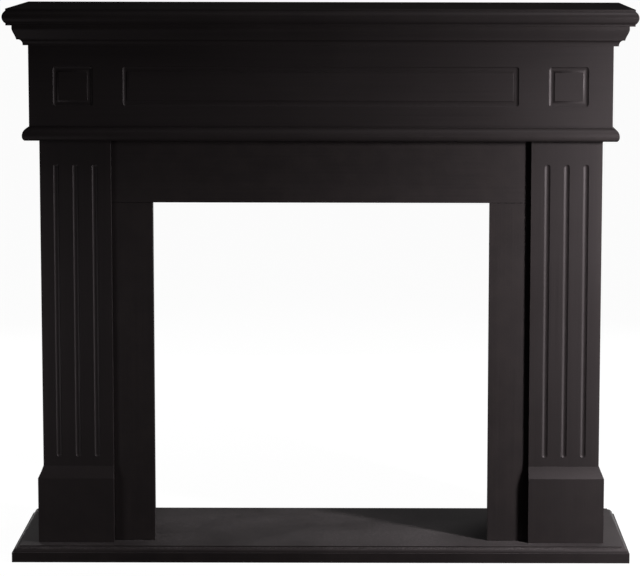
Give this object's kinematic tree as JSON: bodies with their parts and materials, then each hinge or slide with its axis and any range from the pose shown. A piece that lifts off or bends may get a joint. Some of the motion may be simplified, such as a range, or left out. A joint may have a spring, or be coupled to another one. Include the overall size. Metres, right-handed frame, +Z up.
{
  "type": "fireplace mantelpiece",
  "caption": "Dark lacquered mantelpiece with moulded shelf and crown, routed frieze, fluted legs on plinths, a flat frame round the fire opening and a moulded hearth board.",
  "frame": {"origin": "centre of the footprint of the whole piece on the floor, under the middle of the shelf", "axes": "+X to the right along the shelf as seen from the front, +Y back to the wall, +Z up; the fluted front faces -Y"},
  "size_m": [1.2, 0.35, 1.068],
  "materials": {
    "satin_lacquer": "satin espresso-black lacquer over fibreboard, faint brushed grain",
    "sealed_board": "thin dull sealing coat over fibreboard, on the boards behind"
  },
  "bodies": {
    "root": {"shelf": "satin_lacquer", "crown_front": "satin_lacquer", "crown_left": "satin_lacquer", "crown_right": "satin_lacquer", "frieze_panel": "satin_lacquer", "frieze_return_left": "satin_lacquer", "frieze_return_right": "satin_lacquer", "frieze_soffit": "sealed_board", "bead_front": "satin_lacquer", "bead_left": "satin_lacquer", "bead_right": "satin_lacquer", "leg_front_left": "satin_lacquer", "leg_front_right": "satin_lacquer", "leg_outer_left": "satin_lacquer", "leg_outer_right": "satin_lacquer", "leg_inner_left": "sealed_board", "leg_inner_right": "sealed_board", "plinth_front_left": "satin_lacquer", "plinth_front_right": "satin_lacquer", "plinth_return_left": "satin_lacquer", "plinth_return_right": "satin_lacquer", "slip_left": "satin_lacquer", "slip_right": "satin_lacquer", "header_slip": "satin_lacquer", "base_board": "satin_lacquer"}
  },
  "joints": []
}
